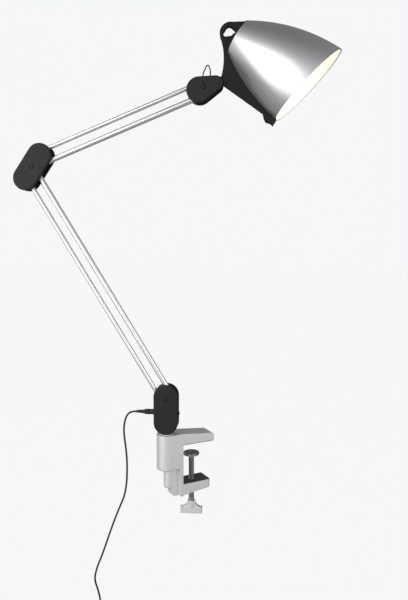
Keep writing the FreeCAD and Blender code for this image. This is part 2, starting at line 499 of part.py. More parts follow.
def head_parts(pivot):
    wall = SHADE_WALL
    plate, rim = bracket_shape(8.2, PIN_R + PIN_FIT)
    disc_thick = 2.4
    back = Part.makeCylinder(SHADE_BACK_R - 0.8, disc_thick, V(-disc_thick - 0.05, 0, 0), X)
    back = back.makeFillet(1.2, [e for e in back.Edges if e.BoundBox.XMax < -disc_thick])
    rim_seat = rim + V(-9.0, 0, -8.6)
    bracket = fuse(plate, back)
    bracket = bracket.cut(rod(rim_seat - Z, rim_seat + Z * 9, 1.25))
    fix = [V(-disc_thick - 0.05, side * 17.0, 0) for side in (-1, 1)]
    for at in fix:
        bracket = bracket.cut(rod(at - X, at + X * 4, 1.55))

    length = SHADE_LEN + 22
    shade = bell(0, 0, length).cut(bell(wall, wall, length + 1))
    shade = shade.cut(Part.makeCylinder(24.0, 5, V(-1, 0, 0), X)).cut(mouth_cutter(0))
    board_at = 21.0
    ledge = board_at + 4.5
    reflector = bell(wall + 0.25, ledge, length).cut(bell(wall + 1.05, ledge + 0.8, length + 1))
    reflector = reflector.cut(Part.makeCylinder(31.0, 5, V(ledge - 1, 0, 0), X)).cut(mouth_cutter(1.2))
    sink = Part.makeCylinder(23.6, board_at, V(0, 0, 0), X)
    for side in range(-4, 5):
        sink = sink.cut(block(3.0, board_at - 2.4, side * 5.2 - 1.9, side * 5.2 + 1.9, -30, 30))
    for at in fix:
        sink = sink.cut(rod(at, at + X * 5.4, 1.5))
    board = Part.makeCylinder(26.0, 1.4, V(board_at, 0, 0), X)
    chips = []
    for ring_r, count in ((9.0, 6), (19.0, 12)):
        for i in range(count):
            turn = 2 * math.pi * i / count
            chips.append(block(board_at + 1.4, board_at + 2.2, ring_r * math.cos(turn) - 1.6,
                               ring_r * math.cos(turn) + 1.6, ring_r * math.sin(turn) - 1.6,
                               ring_r * math.sin(turn) + 1.6))
    diffuser = Part.makeCylinder(33.0, 1.6, V(ledge + 0.9, 0, 0), X)
    screws = [fuse(rod(at - X * 1.8, at, 3.0), rod(at - X, at + X * 5.4, 1.5)) for at in fix]
    rim_screw = fuse(rod(rim_seat - Z * 2.0, rim_seat, 2.9), rod(rim_seat - Z, rim_seat + Z * 7.4, 1.25))
    nodes = {"shade_bracket": [bracket], "shade": [shade], "shade_reflector": [reflector],
             "heat_sink": [sink], "led_board": [board] + chips, "led_diffuser": [diffuser],
             "bracket_screws": screws, "rim_screw": [rim_screw]}
    for name, solids in nodes.items():
        shape = solids[0] if len(solids) == 1 else Part.makeCompound(solids)
        shape.translate(V(BACK_ALONG, 0, BACK_UP))
        shape.rotate(V(0, 0, 0), Y, HEAD_TILT)
        shape.translate(pivot)
        save(name, shape)


# ---- lead, coil and wall adapter ----
def cord_parts():
    face = -HOUSE_R
    plug_end, relief_end = face - PLUG_LEN, face - PLUG_LEN - RELIEF_LEN
    plug = rod(pt(plug_end, PLUG_Z), pt(face, PLUG_Z), PLUG_R)
    plug = plug.makeFillet(1.2, [e for e in plug.Edges if e.BoundBox.XMax < plug_end + 0.1])
    save("dc_plug", fuse(plug, rod(pt(face - 1, PLUG_Z), pt(face + 8.5, PLUG_Z), 2.7)))
    save("plug_strain_relief", Part.makeCone(2.5, 3.4, RELIEF_LEN, pt(relief_end, PLUG_Z), X))

    route = [V(*p) - SWIVEL for p in ROUTE]
    route[0] = pt(relief_end, PLUG_Z)
    cord, radii, length = bent_tube(route, CORD_R, 0.45)
    print("cord arc radii", [round(r, 1) for r in radii])
    section = math.pi * CORD_R ** 2
    print("cord length %.1f, volume %.1f against %.1f" % (length, cord.Volume, section * length))
    save("power_cord", cord)
    outer = COIL_R + COIL_BUNDLE
    centre = route[-1] - Z * (outer - 1.0)
    save("cord_coil", Part.makeTorus(COIL_R, COIL_BUNDLE, centre, Y))
    tie_at = centre + X * COIL_R
    save("cord_tie", rod(tie_at - Z * 3, tie_at + Z * 3, COIL_BUNDLE + 1.3, COIL_BUNDLE + 0.4))
    tail_top = centre - Z * (outer - 1.0)
    tail_low = tail_top - Z * TAIL_LEN
    save("cord_tail", rod(tail_low, tail_top, CORD_R))
    relief = 16.0
    sleeve = Part.makeCone(3.6, 2.4, relief, tail_low - Z * relief, Z)
    for i in range(5):
        low = tail_low - Z * (relief - 2.4 - 2.6 * i)
        sleeve = sleeve.cut(rod(low, low + Z * 1.1, 6.0, 2.9 - 0.16 * i))
    wide, deep, tall = ADAPTER
    top = tail_low - Z * relief
    case = block(top.x - wide / 2, top.x + wide / 2, top.y - deep / 2, top.y + deep / 2, top.z - tall, top.z)
    case = case.makeFillet(3.0, case.Edges)
    groove = block(top.x - 40, top.x + 40, top.y - 0.4, top.y + 0.4, top.z - 80, top.z + 20)
    inner = block(top.x - wide / 2 + 0.6, top.x + wide / 2 - 0.6, top.y - 2, top.y + 2, top.z - tall + 0.6, top.z - 0.6)
    case = case.cut(groove.cut(inner.makeFillet(2.4, [e for e in inner.Edges if e.BoundBox.YLength > 3])))
    panel = block(top.x - wide / 2 + 7, top.x + wide / 2 - 7, top.y - deep / 2 - 1, top.y - deep / 2 + 0.4,
                  top.z - tall + 8, top.z - 8)
    case = case.cut(panel.makeFillet(2.0, [e for e in panel.Edges if e.BoundBox.YLength > 1]))
    save("wall_adapter", case, sleeve)
    blades = []
    for side in (-6.35, 6.35):
        blades.append(block(top.x + side - 0.75, top.x + side + 0.75, top.y + deep / 2, top.y + deep / 2 + 17.5,
                            top.z - tall * 0.6 - 3.15, top.z - tall * 0.6 + 3.15))
    save("adapter_blades", *blades)
    turns = (TOTAL_CORD - length - TAIL_LEN) / (2 * math.pi * COIL_R)
    print("coil turns %.2f" % turns)


def main():
    os.makedirs("parts", exist_ok=True)
    clamp_parts()
    clamp_screw_parts()
    base_main, base_link = base_parts()
    lean, rise = math.radians(LOWER_LEAN), math.radians(UPPER_RISE)
    elbow = base_main + pt(-math.sin(lean), math.cos(lean)) * LOWER_LEN
    neck = elbow + pt(math.cos(rise), math.sin(rise)) * UPPER_LEN
    lower_link, upper_link = elbow_parts(elbow)
    head_pivot, neck_link = neck_parts(neck)
    arm_parts(base_main, base_link, elbow, neck)
    head_parts(head_pivot)
    cord_parts()
    for name, at in (("base_main", base_main), ("base_link", base_link), ("elbow", elbow),
                     ("elbow_lower_link", lower_link), ("elbow_upper_link", upper_link), ("neck", neck),
                     ("neck_link", neck_link), ("head_pivot", head_pivot), ("swivel", V(0, 0, 0))):
        at = at + SWIVEL
        print("pivot %-18s %9.3f %9.3f %9.3f" % (name, at.x, at.y, at.z))


main()
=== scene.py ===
"""Looks of a clamp-on architect desk lamp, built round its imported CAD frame.

Metres, +Z up. +X is the side that the head reaches to and +Y is away from the front covers.
"""

import logging
import math
from dataclasses import dataclass
from enum import Enum
from typing import Callable, Sequence

import bpy
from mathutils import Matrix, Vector


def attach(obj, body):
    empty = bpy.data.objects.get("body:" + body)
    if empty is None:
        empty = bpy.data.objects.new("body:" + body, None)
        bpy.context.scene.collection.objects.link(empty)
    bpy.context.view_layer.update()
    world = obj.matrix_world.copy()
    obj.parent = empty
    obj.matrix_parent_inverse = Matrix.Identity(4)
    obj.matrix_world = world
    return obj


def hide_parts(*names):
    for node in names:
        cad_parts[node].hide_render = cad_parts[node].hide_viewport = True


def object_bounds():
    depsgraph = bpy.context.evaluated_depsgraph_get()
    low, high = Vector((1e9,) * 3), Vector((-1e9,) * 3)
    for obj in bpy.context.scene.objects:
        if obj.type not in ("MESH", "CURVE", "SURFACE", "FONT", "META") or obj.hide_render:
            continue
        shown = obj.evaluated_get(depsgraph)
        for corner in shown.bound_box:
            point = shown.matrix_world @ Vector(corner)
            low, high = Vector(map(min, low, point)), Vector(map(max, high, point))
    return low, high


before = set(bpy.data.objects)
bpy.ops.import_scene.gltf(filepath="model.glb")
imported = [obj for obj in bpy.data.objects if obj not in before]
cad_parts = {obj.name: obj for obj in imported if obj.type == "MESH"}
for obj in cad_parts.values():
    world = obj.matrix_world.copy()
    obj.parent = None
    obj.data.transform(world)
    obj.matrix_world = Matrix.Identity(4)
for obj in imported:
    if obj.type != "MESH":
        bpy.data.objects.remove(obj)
CAD_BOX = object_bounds()

log = logging.getLogger("lamp")

MM = 0.001
ARM_PLANE_Y = -25.598 * MM
Colour = tuple[float, float, float]
DUST_COLOUR: Colour = (0.34, 0.33, 0.31)
FLUFF_COLOUR: Colour = (0.30, 0.29, 0.27)


class Along(Enum):
    """Main directions that a turned piece can lie in."""

    X = Vector((1.0, 0.0, 0.0))
    Y = Vector((0.0, 1.0, 0.0))
    Z = Vector((0.0, 0.0, 1.0))


# ---- node graphs ----
class Graph:
    """A node tree that is being filled in."""

    def __init__(self, tree: bpy.types.NodeTree) -> None:
        """Keep the tree.

        Args:
            tree: the node tree of a material or of a group.
        """
        self.tree = tree

    def node(self, kind: str, **settings: object) -> bpy.types.Node:
        """Add a node and set its options and input values.

        Args:
            kind: the node's type, without its ShaderNode prefix.
            **settings: an option of the node, or an input named with underscores for spaces;
                a socket given as the value is linked, and anything else is set as a constant.

        Returns:
            The new node.
        """
        made = self.tree.nodes.new("ShaderNode" + kind)
        for name, value in settings.items():
            if name.startswith("in_"):
                key = name[3:]
                socket = made.inputs[int(key)] if key.isdigit() else made.inputs[key.replace("_", " ")]
                if isinstance(value, bpy.types.NodeSocket):
                    self.tree.links.new(value, socket)
                else:
                    socket.default_value = value
            else:
                setattr(made, name, value)
        return made

    def math(self, operation: str, first: object, second: object = 0.0, clamp: bool = False) -> bpy.types.NodeSocket:
        """Add a Math node.

        Args:
            operation: the node's operation.
            first: the first number or socket.
            second: the second number or socket.
            clamp: keep the result from 0 to 1.

        Returns:
            The node's result.
        """
        return self.node("Math", operation=operation, use_clamp=clamp, in_0=first, in_1=second).outputs[0]

    def mix(self, share: object, first: object, second: object) -> bpy.types.NodeSocket:
        """Mix two colours.

        Args:
            share: how much of the second colour there is, as a number or a socket.
            first: the first colour or socket.
            second: the second colour or socket.

        Returns:
            The mixed colour.
        """
        made = self.tree.nodes.new("ShaderNodeMix")
        made.data_type = "RGBA"
        sockets = [made.inputs[0], made.inputs[6], made.inputs[7]]
        for socket, value in zip(sockets, (share, first, second)):
            if isinstance(value, bpy.types.NodeSocket):
                self.tree.links.new(value, socket)
            else:
                socket.default_value = value if socket is sockets[0] else (*value, 1.0)
        return made.outputs[2]

    def ramp(self, source: bpy.types.NodeSocket, low: float, high: float) -> bpy.types.NodeSocket:
        """Stretch the values from low to high over 0 to 1.

        Args:
            source: the value to stretch.
            low: what becomes 0.
            high: what becomes 1.

        Returns:
            The stretched value, clamped.
        """
        return self.node("MapRange", in_Value=source, in_From_Min=low, in_From_Max=high).outputs[0]


class Effect(Enum):
    """Shared surface effects, each one a node group."""

    EDGE_WEAR = "edge wear"
    MOULD_GRAIN = "mould grain"
    STREAKS = "streaks"
    DUST = "dust"
    SMUDGES = "smudges"


def socket(tree: bpy.types.NodeTree, name: str, way: str, kind: str = "Float", value: float | None = None) -> None:
    """Give a node group one socket.

    Args:
        tree: the group.
        name: the socket's name.
        way: INPUT or OUTPUT.
        kind: Float, Vector or Color.
        value: the default of a number.
    """
    made = tree.interface.new_socket(name=name, in_out=way, socket_type="NodeSocket" + kind)
    if value is not None:
        made.default_value = value


def edge_wear(tree: bpy.types.NodeTree) -> None:
    """Mask of the worn corners, with the softened normal. Inputs: Width in metres and Patches."""
    socket(tree, "Width", "INPUT", value=0.0005)
    socket(tree, "Patches", "INPUT", value=60.0)
    socket(tree, "Mask", "OUTPUT")
    socket(tree, "Normal", "OUTPUT", "Vector")
    graph = Graph(tree)
    given, out = tree.nodes.new("NodeGroupInput"), tree.nodes.new("NodeGroupOutput")
    soft = graph.node("Bevel", samples=4, in_Radius=given.outputs["Width"])
    facet = graph.node("NewGeometry")
    agree = graph.node("VectorMath", operation="DOT_PRODUCT", in_0=soft.outputs[0], in_1=facet.outputs["Normal"])
    corner = graph.ramp(agree.outputs["Value"], 0.995, 0.80)
    place = graph.node("TexCoord").outputs["Object"]
    patch = graph.node("TexNoise", in_Vector=place, in_Scale=given.outputs["Patches"], in_Detail=4.0)
    broken = graph.ramp(patch.outputs[0], 0.35, 0.62)
    tree.links.new(graph.math("MULTIPLY", corner, broken, clamp=True), out.inputs["Mask"])
    tree.links.new(soft.outputs[0], out.inputs["Normal"])


def mould_grain(tree: bpy.types.NodeTree) -> None:
    """Fine pebbled texture of a mould. Input: Scale, in cells per metre. Outputs: Height and Patch."""
    socket(tree, "Scale", "INPUT", value=1500.0)
    socket(tree, "Height", "OUTPUT")
    socket(tree, "Patch", "OUTPUT")
    graph = Graph(tree)
    given, out = tree.nodes.new("NodeGroupInput"), tree.nodes.new("NodeGroupOutput")
    place = graph.node("TexCoord").outputs["Object"]
    cells = graph.node("TexVoronoi", in_Vector=place, in_Scale=given.outputs["Scale"])
    fine = graph.node("TexNoise", in_Vector=place, in_Scale=given.outputs["Scale"], in_Detail=3.0)
    height = graph.math("ADD", graph.math("MULTIPLY", cells.outputs["Distance"], 0.5), fine.outputs[0])
    tree.links.new(height, out.inputs["Height"])
    wide = graph.node("TexNoise", in_Vector=place, in_Scale=38.0, in_Detail=3.0)
    tree.links.new(graph.ramp(wide.outputs[0], 0.3, 0.7), out.inputs["Patch"])


def streaks(tree: bpy.types.NodeTree) -> None:
    """Long streaks along the Z axis of the vector given. Inputs: Vector, Across and Length. Output: Streak."""
    socket(tree, "Vector", "INPUT", "Vector")
    socket(tree, "Across", "INPUT", value=2500.0)
    socket(tree, "Length", "INPUT", value=12.0)
    socket(tree, "Streak", "OUTPUT")
    graph = Graph(tree)
    given, out = tree.nodes.new("NodeGroupInput"), tree.nodes.new("NodeGroupOutput")
    scale = graph.node("CombineXYZ", in_X=given.outputs["Across"], in_Y=given.outputs["Across"],
                       in_Z=given.outputs["Length"])
    place = graph.node("VectorMath", operation="MULTIPLY", in_0=given.outputs["Vector"], in_1=scale.outputs[0])
    lines = graph.node("TexNoise", in_Vector=place.outputs[0], in_Scale=1.0, in_Detail=4.0)
    tree.links.new(graph.ramp(lines.outputs[0], 0.3, 0.7), out.inputs["Streak"])


def dust(tree: bpy.types.NodeTree) -> None:
    """Mask of the thin dust that lies on what faces up. Input: Amount. Output: Mask."""
    socket(tree, "Amount", "INPUT", value=0.2)
    socket(tree, "Mask", "OUTPUT")
    graph = Graph(tree)
    given, out = tree.nodes.new("NodeGroupInput"), tree.nodes.new("NodeGroupOutput")
    up = graph.node("SeparateXYZ", in_Vector=graph.node("NewGeometry").outputs["Normal"]).outputs["Z"]
    lying = graph.ramp(up, 0.35, 1.0)
    specks = graph.node("TexNoise", in_Vector=graph.node("TexCoord").outputs["Object"], in_Scale=900.0,
                        in_Detail=5.0)
    share = graph.math("MULTIPLY", lying, graph.ramp(specks.outputs[0], 0.4, 0.7))
    tree.links.new(graph.math("MULTIPLY", share, given.outputs["Amount"], clamp=True), out.inputs["Mask"])


def smudges(tree: bpy.types.NodeTree) -> None:
    """Soft cloudy patches that handling leaves. Input: Scale. Output: Patch."""
    socket(tree, "Scale", "INPUT", value=25.0)
    socket(tree, "Patch", "OUTPUT")
    graph = Graph(tree)
    given, out = tree.nodes.new("NodeGroupInput"), tree.nodes.new("NodeGroupOutput")
    clouds = graph.node("TexNoise", in_Vector=graph.node("TexCoord").outputs["Object"],
                        in_Scale=given.outputs["Scale"], in_Detail=5.0, in_Distortion=0.6)
    tree.links.new(graph.ramp(clouds.outputs[0], 0.35, 0.68), out.inputs["Patch"])


BUILDERS: dict[Effect, Callable[[bpy.types.NodeTree], None]] = {
    Effect.EDGE_WEAR: edge_wear,
    Effect.MOULD_GRAIN: mould_grain,
    Effect.STREAKS: streaks,
    Effect.DUST: dust,
    Effect.SMUDGES: smudges,
}


def placed(graph: Graph, effect: Effect, **inputs: object) -> bpy.types.Node:
    """Place a shared effect in a material, building its group the first time.

    Args:
        graph: the material's graph.
        effect: which effect.
        **inputs: the group's inputs, as numbers or sockets.

    Returns:
        The group node.
    """
    tree = bpy.data.node_groups.get(effect.value)
    if tree is None:
        tree = bpy.data.node_groups.new(effect.value, "ShaderNodeTree")
        BUILDERS[effect](tree)
    made = graph.node("Group", node_tree=tree)
    for name, value in inputs.items():
        if isinstance(value, bpy.types.NodeSocket):
            graph.tree.links.new(value, made.inputs[name])
        else:
            made.inputs[name].default_value = value
    return made


# ---- finishes ----
@dataclass(frozen=True)
class Finish:
    """What every finish has: a name, a base colour and the basic shader numbers.

    Attributes:
        name: the material's name.
        colour: linear base colour.
        roughness: middle roughness.
        metallic: how metallic it is.
        shine: specular level of a finish that isn't a metal.
    """

    name: str
    colour: Colour
    roughness: float
    metallic: float = 0.0
    shine: float = 0.4

    def material(self) -> bpy.types.Material:
        """Return this finish's material, made the first time that it is asked for."""
        found = bpy.data.materials.get(self.name)
        if found is None:
            found = bpy.data.materials.new(self.name)
            found.use_nodes = True
            found.node_tree.nodes.clear()
            graph = Graph(found.node_tree)
            shader = graph.node("BsdfPrincipled", in_Metallic=self.metallic, in_Roughness=self.roughness)
            shader.inputs["Base Color"].default_value = (*self.colour, 1.0)
            shader.inputs["Specular IOR Level"].default_value = self.shine
            out = graph.node("OutputMaterial")
            found.node_tree.links.new(shader.outputs[0], out.inputs[0])
            self.draw(graph, shader)
        return found

    def draw(self, graph: Graph, shader: bpy.types.Node) -> None:
        """Add this finish's own detail to the shader.

        Args:
            graph: the material's graph.
            shader: its Principled BSDF.
        """
        raise NotImplementedError

    def varied(self, graph: Graph, shader: bpy.types.Node, mask: bpy.types.NodeSocket, other: Colour,
               rough_low: float, rough_high: float) -> None:
        """Vary colour and roughness together by one mask.

        Args:
            graph: the material's graph.
            shader: its Principled BSDF.
            mask: where the other colour shows.
            other: the colour at a full mask.
            rough_low: roughness at an empty mask.
            rough_high: roughness at a full mask.
        """
        graph.tree.links.new(graph.mix(mask, self.colour, other), shader.inputs["Base Color"])
        rough = graph.node("MapRange", in_Value=mask, in_To_Min=rough_low, in_To_Max=rough_high).outputs[0]
        graph.tree.links.new(rough, shader.inputs["Roughness"])


def tint(colour: Colour, factor: float) -> Colour:
    """Return the colour made lighter or darker by a factor."""
    return (min(colour[0] * factor, 1.0), min(colour[1] * factor, 1.0), min(colour[2] * factor, 1.0))


def bump(graph: Graph, shader: bpy.types.Node, height: bpy.types.NodeSocket, depth: float,
         normal: bpy.types.NodeSocket | None = None) -> None:
    """Feed a height to the shader's normal.

    Args:
        graph: the material's graph.
        shader: its Principled BSDF.
        height: the height, from 0 to 1.
        depth: what a height of 1 is, in metres.
        normal: the normal under it, if it isn't the mesh's own.
    """
    made = graph.node("Bump", in_Strength=1.0, in_Distance=depth, in_Height=height)
    if normal is not None:
        graph.tree.links.new(normal, made.inputs["Normal"])
    graph.tree.links.new(made.outputs[0], shader.inputs["Normal"])


@dataclass(frozen=True)
class MouldedPlastic(Finish):
    """Matt or glossy moulded plastic, with a fine grain and paler worn corners.

    Attributes:
        grain: cells of the grain per metre.
        depth: depth of the grain in metres.
        edge: how much paler a worn corner is.
        edge_width: how wide the soft corners are, in metres.
    """

    grain: float = 1400.0
    depth: float = 0.00003
    edge: float = 3.0
    edge_width: float = 0.0006

    def draw(self, graph: Graph, shader: bpy.types.Node) -> None:
        """Add grain, worn corners and dust."""
        grain = placed(graph, Effect.MOULD_GRAIN, Scale=self.grain)
        wear = placed(graph, Effect.EDGE_WEAR, Width=self.edge_width, Patches=45.0)
        dusty = placed(graph, Effect.DUST, Amount=0.10)
        self.varied(graph, shader, grain.outputs["Patch"], tint(self.colour, 1.25),
                    self.roughness, self.roughness + 0.12)
        cloudy = shader.inputs["Base Color"].links[0].from_socket
        worn = graph.mix(wear.outputs["Mask"], (0, 0, 0), tint(self.colour, self.edge))
        graph.tree.links.new(cloudy, worn.node.inputs[6])
        dusted = graph.mix(dusty.outputs["Mask"], (0, 0, 0), DUST_COLOUR)
        graph.tree.links.new(worn, dusted.node.inputs[6])
        graph.tree.links.new(dusted, shader.inputs["Base Color"])
        bump(graph, shader, grain.outputs["Height"], self.depth, wear.outputs["Normal"])


@dataclass(frozen=True)
class SatinPaint(Finish):
    """Silver paint on a casting: metal flake, a little orange peel and rubbed corners."""

    flake: float = 5200.0

    def draw(self, graph: Graph, shader: bpy.types.Node) -> None:
        """Add flake, orange peel, rubbed corners and smudges."""
        place = graph.node("TexCoord").outputs["Object"]
        flakes = graph.node("TexVoronoi", in_Vector=place, in_Scale=self.flake)
        spark = graph.node("SeparateColor", in_Color=flakes.outputs["Color"]).outputs[0]
        self.varied(graph, shader, spark, tint(self.colour, 0.84), self.roughness - 0.05, self.roughness + 0.08)
        flaked = shader.inputs["Base Color"].links[0].from_socket
        wear = placed(graph, Effect.EDGE_WEAR, Width=0.0009, Patches=80.0)
        rubbed = graph.mix(wear.outputs["Mask"], (0, 0, 0), tint(self.colour, 1.3))
        graph.tree.links.new(flaked, rubbed.node.inputs[6])
        graph.tree.links.new(rubbed, shader.inputs["Base Color"])
        peel = graph.node("TexNoise", in_Vector=place, in_Scale=420.0, in_Detail=3.0)
        bump(graph, shader, peel.outputs[0], 0.00010, wear.outputs["Normal"])


@dataclass(frozen=True)
class DrawnTube(Finish):
    """Bright tube with fine lines drawn along it.

    Attributes:
        lean: degrees from +Z towards +X that the tube points.
    """

    lean: float = 0.0

    def draw(self, graph: Graph, shader: bpy.types.Node) -> None:
        """Add drawn lines along the tube and faint handling marks."""
        place = graph.node("TexCoord").outputs["Object"]
        turned = graph.node("Mapping", in_Vector=place, in_Rotation=(0.0, -math.radians(self.lean), 0.0))
        lines = placed(graph, Effect.STREAKS, Vector=turned.outputs[0], Across=350.0, Length=6.0)
        marks = placed(graph, Effect.SMUDGES, Scale=30.0)
        self.varied(graph, shader, lines.outputs["Streak"], tint(self.colour, 0.98),
                    self.roughness, self.roughness + 0.03)
        streaked = shader.inputs["Roughness"].links[0].from_socket
        hazy = graph.math("ADD", streaked, graph.math("MULTIPLY", marks.outputs["Patch"], 0.05))
        graph.tree.links.new(hazy, shader.inputs["Roughness"])
        bump(graph, shader, lines.outputs["Streak"], 0.0000005)


@dataclass(frozen=True)
class SpunLacquer(Finish):
    """Satin silver lacquer over a spun shade, with faint turning rings.

    Attributes:
        centre: a point on the shade's axis.
        tilt: degrees that the axis dips below +X.
    """

    centre: tuple[float, float, float] = (0.0, 0.0, 0.0)
    tilt: float = 35.5

    def draw(self, graph: Graph, shader: bpy.types.Node) -> None:
        """Add rings round the axis, flake and smudges."""
        place = graph.node("TexCoord").outputs["Object"]
        axis = (math.cos(math.radians(self.tilt)), 0.0, -math.sin(math.radians(self.tilt)))
        from_centre = graph.node("VectorMath", operation="SUBTRACT", in_0=place, in_1=self.centre)
        along = graph.node("VectorMath", operation="DOT_PRODUCT", in_0=from_centre.outputs[0], in_1=axis)
        rings = graph.node("TexNoise", noise_dimensions="1D", in_W=along.outputs["Value"], in_Scale=1400.0,
                           in_Detail=2.0)
        flakes = graph.node("TexVoronoi", in_Vector=place, in_Scale=6500.0)
        spark = graph.node("SeparateColor", in_Color=flakes.outputs["Color"]).outputs[0]
        marks = placed(graph, Effect.SMUDGES, Scale=14.0)
        self.varied(graph, shader, spark, tint(self.colour, 0.90), self.roughness - 0.03, self.roughness + 0.05)
        flaked = shader.inputs["Roughness"].links[0].from_socket
        ringed = graph.math("ADD", flaked, graph.math("MULTIPLY", rings.outputs[0], 0.05))
        hazy = graph.math("ADD", ringed, graph.math("MULTIPLY", marks.outputs["Patch"], 0.04))
        graph.tree.links.new(hazy, shader.inputs["Roughness"])
        bump(graph, shader, rings.outputs[0], 0.000012)
        shader.inputs["Coat Weight"].default_value = 0.25
        shader.inputs["Coat Roughness"].default_value = 0.30


@dataclass(frozen=True)
class WarmEnamel(Finish):
    """White enamel with an emission: on the diffuser it is the lamp's own light, on the shade's inside it is painted
    light, the module's warm light painted on as a glow.

    Attributes:
        glow: strength of the emission; painted light where the piece is no lamp.
        light: colour of that light.
    """

    glow: float = 0.0
    light: Colour = (1.0, 0.93, 0.78)

    def draw(self, graph: Graph, shader: bpy.types.Node) -> None:
        """Add a faint sprayed unevenness and the emission, which is painted light on the shade's inside."""
        place = graph.node("TexCoord").outputs["Object"]
        spray = graph.node("TexNoise", in_Vector=place, in_Scale=260.0, in_Detail=4.0)
        marks = placed(graph, Effect.SMUDGES, Scale=18.0)
        self.varied(graph, shader, marks.outputs["Patch"], tint(self.colour, 0.95),
                    self.roughness, self.roughness + 0.08)
        bump(graph, shader, spray.outputs[0], 0.00008)
        # Emission: on the reflector this is painted light, the module's light bouncing inside the shade painted on
        # as a glow.
        shader.inputs["Emission Color"].default_value = (*self.light, 1.0)
        shader.inputs["Emission Strength"].default_value = self.glow


@dataclass(frozen=True)
class PlatedMetal(Finish):
    """Machined and plated small metal: turning marks, smudges and soft corners."""

    def draw(self, graph: Graph, shader: bpy.types.Node) -> None:
        """Add cloudy plating, fine scratches and bright corners."""
        place = graph.node("TexCoord").outputs["Object"]
        wear = placed(graph, Effect.EDGE_WEAR, Width=0.0003, Patches=300.0)
        marks = placed(graph, Effect.SMUDGES, Scale=120.0)
        self.varied(graph, shader, marks.outputs["Patch"], tint(self.colour, 0.72),
                    self.roughness, self.roughness + 0.15)
        cloudy = shader.inputs["Base Color"].links[0].from_socket
        bright = graph.mix(wear.outputs["Mask"], (0, 0, 0), tint(self.colour, 1.7))
        graph.tree.links.new(cloudy, bright.node.inputs[6])
        graph.tree.links.new(bright, shader.inputs["Base Color"])
        scratch = graph.node("TexNoise", in_Vector=place, in_Scale=2400.0, in_Detail=2.0)
        bump(graph, shader, scratch.outputs[0], 0.00001, wear.outputs["Normal"])


@dataclass(frozen=True)
class SoftVinyl(Finish):
    """Jacket of the lead and other soft black parts."""

    def draw(self, graph: Graph, shader: bpy.types.Node) -> None:
        """Add a faint skin texture and rubbed patches."""
        grain = placed(graph, Effect.MOULD_GRAIN, Scale=2600.0)
        marks = placed(graph, Effect.SMUDGES, Scale=60.0)
        dusty = placed(graph, Effect.DUST, Amount=0.12)
        self.varied(graph, shader, marks.outputs["Patch"], tint(self.colour, 1.6),
                    self.roughness, self.roughness + 0.14)
        cloudy = shader.inputs["Base Color"].links[0].from_socket
        dusted = graph.mix(dusty.outputs["Mask"], (0, 0, 0), FLUFF_COLOUR)
        graph.tree.links.new(cloudy, dusted.node.inputs[6])
        graph.tree.links.new(dusted, shader.inputs["Base Color"])
        bump(graph, shader, grain.outputs["Height"], 0.00002)


@dataclass(frozen=True)
class CircuitBoard(Finish):
    """Solder resist with copper lines that show faintly under it."""

    def draw(self, graph: Graph, shader: bpy.types.Node) -> None:
        """Add a grid of tracks."""
        place = graph.node("TexCoord").outputs["Object"]
        tracks = graph.node("TexBrick", in_Vector=place, in_Scale=260.0)
        mask = graph.node("SeparateColor", in_Color=tracks.outputs["Color"]).outputs[0]
        self.varied(graph, shader, mask, tint(self.colour, 1.8), self.roughness, self.roughness + 0.1)
        bump(graph, shader, mask, 0.00003)


HOUSING = MouldedPlastic("housing_charcoal", (0.0095, 0.009, 0.0098), 0.48, shine=0.26, grain=1300.0, edge=5.0)
SPINE_PLASTIC = MouldedPlastic("spine_black", (0.008, 0.008, 0.0085), 0.54, shine=0.20, grain=1100.0, edge=5.0)
GLOSS_PLASTIC = MouldedPlastic("gloss_black", (0.012, 0.012, 0.013), 0.16, depth=0.000004, edge=2.0)
ADAPTER_PLASTIC = MouldedPlastic("adapter_black", (0.022, 0.022, 0.023), 0.50, grain=1000.0)
NYLON = MouldedPlastic("natural_nylon", (0.78, 0.77, 0.72), 0.40, edge=1.1)
CAST_SILVER = SatinPaint("cast_silver", (0.70, 0.70, 0.71), 0.38, 0.40)
ZINC = PlatedMetal("bright_zinc", (0.42, 0.42, 0.43), 0.26, 1.0)
BLACK_OXIDE = PlatedMetal("black_oxide", (0.034, 0.034, 0.035), 0.22, 0.8)
BRASS = PlatedMetal("blade_brass", (0.70, 0.55, 0.28), 0.28, 1.0)
RUBBER = SoftVinyl("pad_rubber", (0.022, 0.022, 0.022), 0.66)
JACKET = SoftVinyl("lead_vinyl", (0.012, 0.012, 0.012), 0.44)
LOWER_TUBE = DrawnTube("drawn_tube_lower", (0.74, 0.75, 0.76), 0.36, 1.0, lean=-31.1)
UPPER_TUBE = DrawnTube("drawn_tube_upper", (0.74, 0.75, 0.76), 0.36, 1.0, lean=68.6)
SHADE_SILVER = SpunLacquer("shade_silver", (0.40, 0.40, 0.42), 0.46, 0.85, centre=(0.080, ARM_PLANE_Y, 0.6675))
# Its glow on the shade's reflector is painted light: the module's light bouncing inside the shade, painted on as
# emission.
ENAMEL_PAINTED_GLOW = WarmEnamel("enamel_painted_glow", (0.88, 0.87, 0.80), 0.42, glow=0.42)
OPAL = WarmEnamel("opal_diffuser", (0.92, 0.90, 0.84), 0.30, glow=0.9)
BOARD = CircuitBoard("solder_resist", (0.02, 0.14, 0.06), 0.35)

